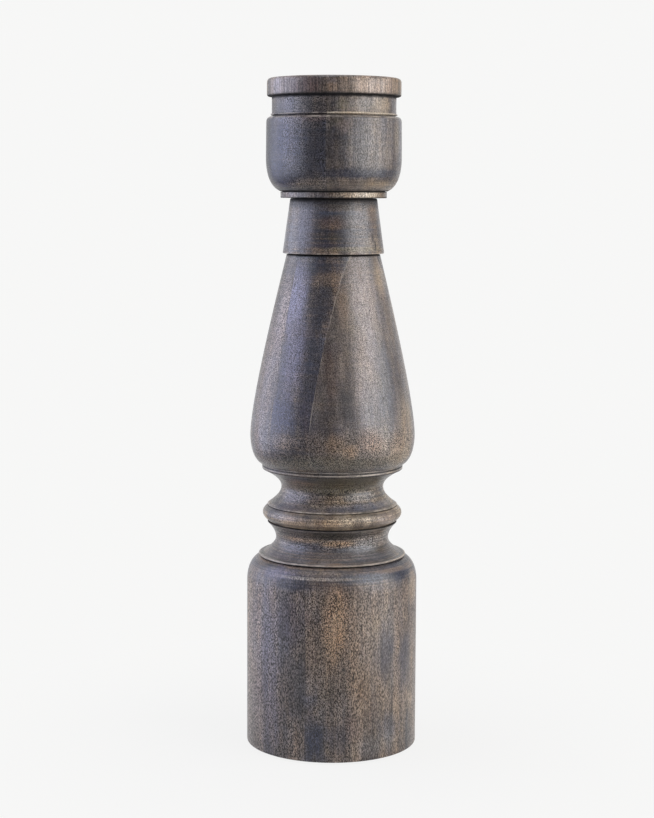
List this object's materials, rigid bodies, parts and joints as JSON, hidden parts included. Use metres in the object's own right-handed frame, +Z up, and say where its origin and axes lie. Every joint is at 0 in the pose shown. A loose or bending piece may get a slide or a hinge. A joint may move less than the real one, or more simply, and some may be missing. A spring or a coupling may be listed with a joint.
{
  "type": "candlestick",
  "caption": "Tall turned wooden candle holder with a drum base, coved stem, vase-shaped column and a cup with a loose metal pan for a pillar candle.",
  "frame": {"origin": "centre of the underside, on the surface that the holder stands on", "axes": "+Z up along the turning axis, -Y towards the front of the picture, +X to its right"},
  "size_m": [0.1032, 0.1032, 0.401],
  "materials": {
    "rim_wood": "thin blue-grey wash rubbed through to brown, satin",
    "cup_wood": "dark blue-black wash over brown wood, satin",
    "ring_wood": "thin wash, pale brown, satin",
    "collar_wood": "dark blue-black wash, satin",
    "vase_wood": "dark blue-black wash over brown wood, satin",
    "spool_wood": "dark blue-black wash with pale rubbed edges, satin",
    "base_wood": "dark blue-black wash rubbed through to brown, satin",
    "dowel_wood": "bare beech",
    "felt": "dark felt",
    "iron": "black, half matt"
  },
  "bodies": {
    "stand": {"rim_ring": "rim_wood", "cup_board_1": "cup_wood", "cup_board_2": "cup_wood", "cup_board_3": "cup_wood", "cup_board_4": "cup_wood", "cup_foot_ring": "ring_wood", "collar": "collar_wood", "vase_board_1": "vase_wood", "vase_board_2": "vase_wood", "vase_board_3": "vase_wood", "vase_board_4": "vase_wood", "upper_spool": "spool_wood", "lower_spool": "spool_wood", "base_board_1": "base_wood", "base_board_2": "base_wood", "base_board_3": "base_wood", "base_board_4": "base_wood", "head_dowel": "dowel_wood", "stem_dowel": "dowel_wood", "felt_disc": "felt"},
    "pan": {"candle_pan": "iron"}
  },
  "joints": [
    {"name": "pan_lift", "type": "slide", "parent": "stand", "child": "pan", "axis": [0, 0, 1], "range_m": [0, 0.03]}
  ]
}
